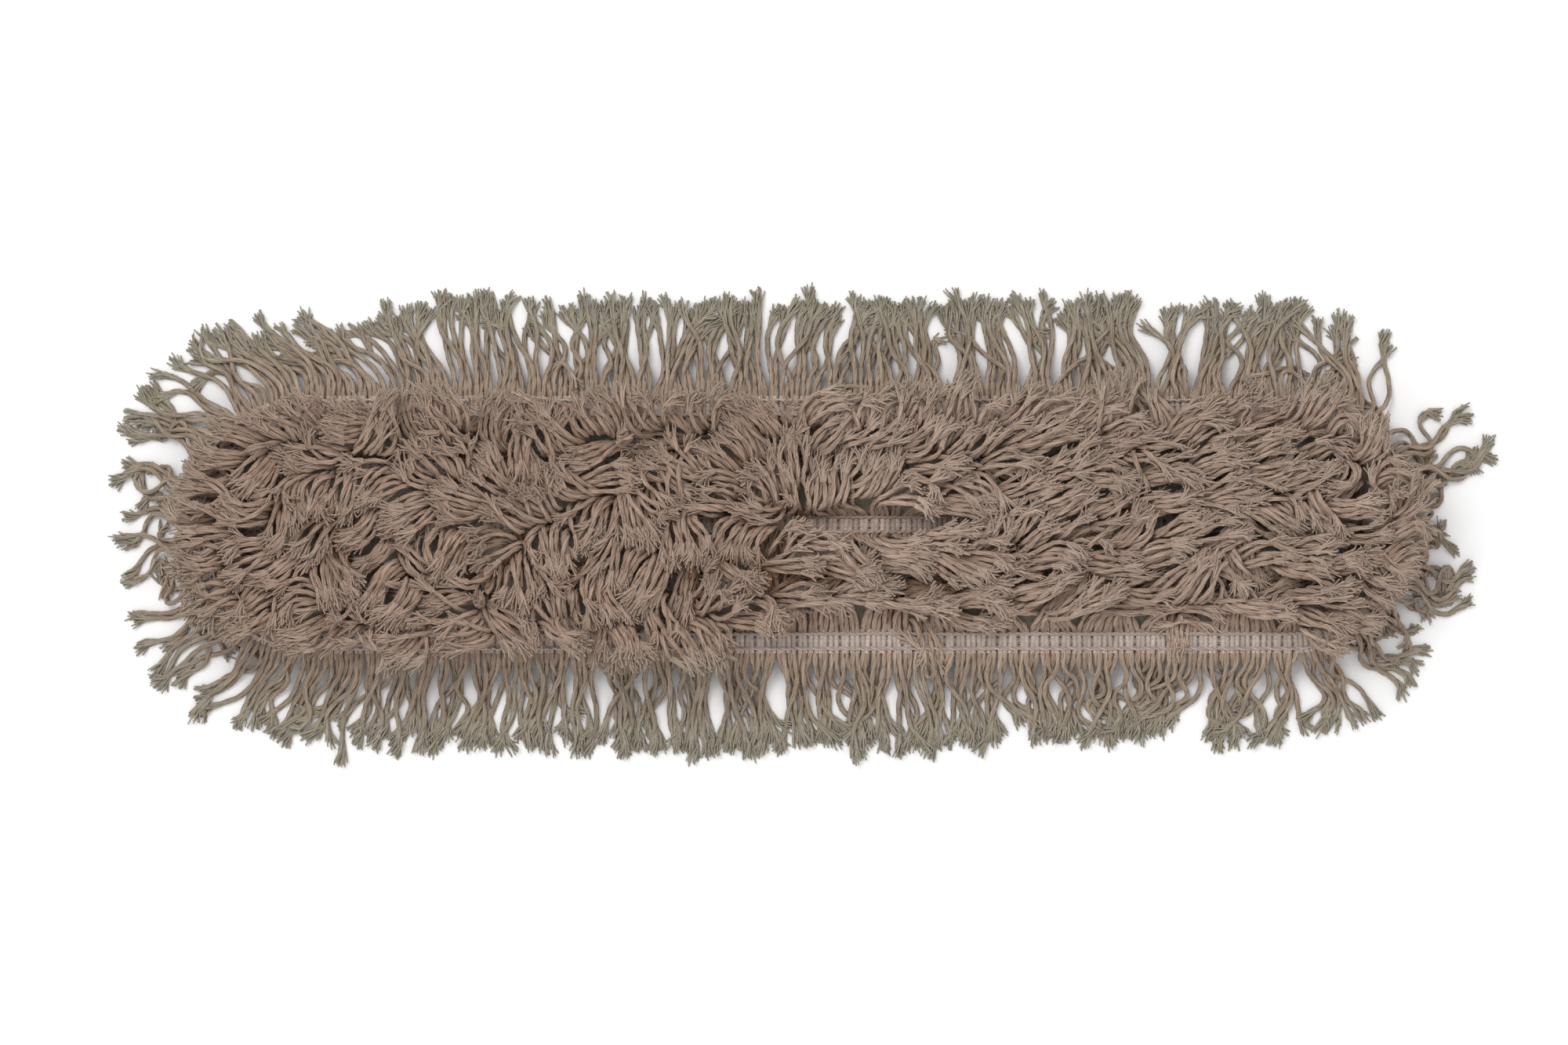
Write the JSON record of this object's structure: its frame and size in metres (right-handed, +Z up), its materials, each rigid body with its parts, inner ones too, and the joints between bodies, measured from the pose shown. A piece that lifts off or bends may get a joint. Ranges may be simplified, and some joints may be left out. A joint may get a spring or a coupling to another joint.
{
  "type": "cotton dust mop head",
  "caption": "Flat oblong cotton dust mop head: rows of cut yarn on crocheted headers, sewn to a canvas back with end pockets for a frame, and a drooping yarn fringe all round.",
  "frame": {"origin": "on the floor, under the middle of the head as it lies on its pockets", "axes": "+X along the head, +Y across it, +Z up out of the yarn side"},
  "size_m": [0.6936, 0.2386, 0.0375],
  "materials": {
    "cotton_yarn": "soft twisted cotton yarn, frayed at the cut ends",
    "crocheted_header": "crocheted cotton",
    "sewing_thread": "twisted thread",
    "cotton_tape": "twill tape",
    "canvas": "plain-weave canvas"
  },
  "bodies": {
    "root": {"backing_canvas": "canvas", "centre_chain": "sewing_thread", "centre_header": "crocheted_header", "centre_pile_back": "cotton_yarn", "centre_pile_front": "cotton_yarn", "centre_row_seam": "sewing_thread", "edge_seam": "sewing_thread", "edge_tape": "cotton_tape", "fringe_back": "cotton_yarn", "fringe_front": "cotton_yarn", "fringe_left_back": "cotton_yarn", "fringe_left_end": "cotton_yarn", "fringe_left_front": "cotton_yarn", "fringe_right_back": "cotton_yarn", "fringe_right_end": "cotton_yarn", "fringe_right_front": "cotton_yarn", "middle_chain": "sewing_thread", "middle_header": "crocheted_header", "middle_pile_inside_back": "cotton_yarn", "middle_pile_inside_front": "cotton_yarn", "middle_pile_outside_back": "cotton_yarn", "middle_pile_outside_front": "cotton_yarn", "middle_row_seam": "sewing_thread", "outer_chain": "sewing_thread", "outer_header": "crocheted_header", "outer_pile_inside_back": "cotton_yarn", "outer_pile_inside_front": "cotton_yarn", "outer_row_seam": "sewing_thread", "pocket_bar_tacks": "sewing_thread", "pocket_hem_left": "cotton_tape", "pocket_hem_right": "cotton_tape", "pocket_left": "canvas", "pocket_right": "canvas", "pocket_seam_left": "sewing_thread", "pocket_seam_right": "sewing_thread"}
  },
  "joints": []
}
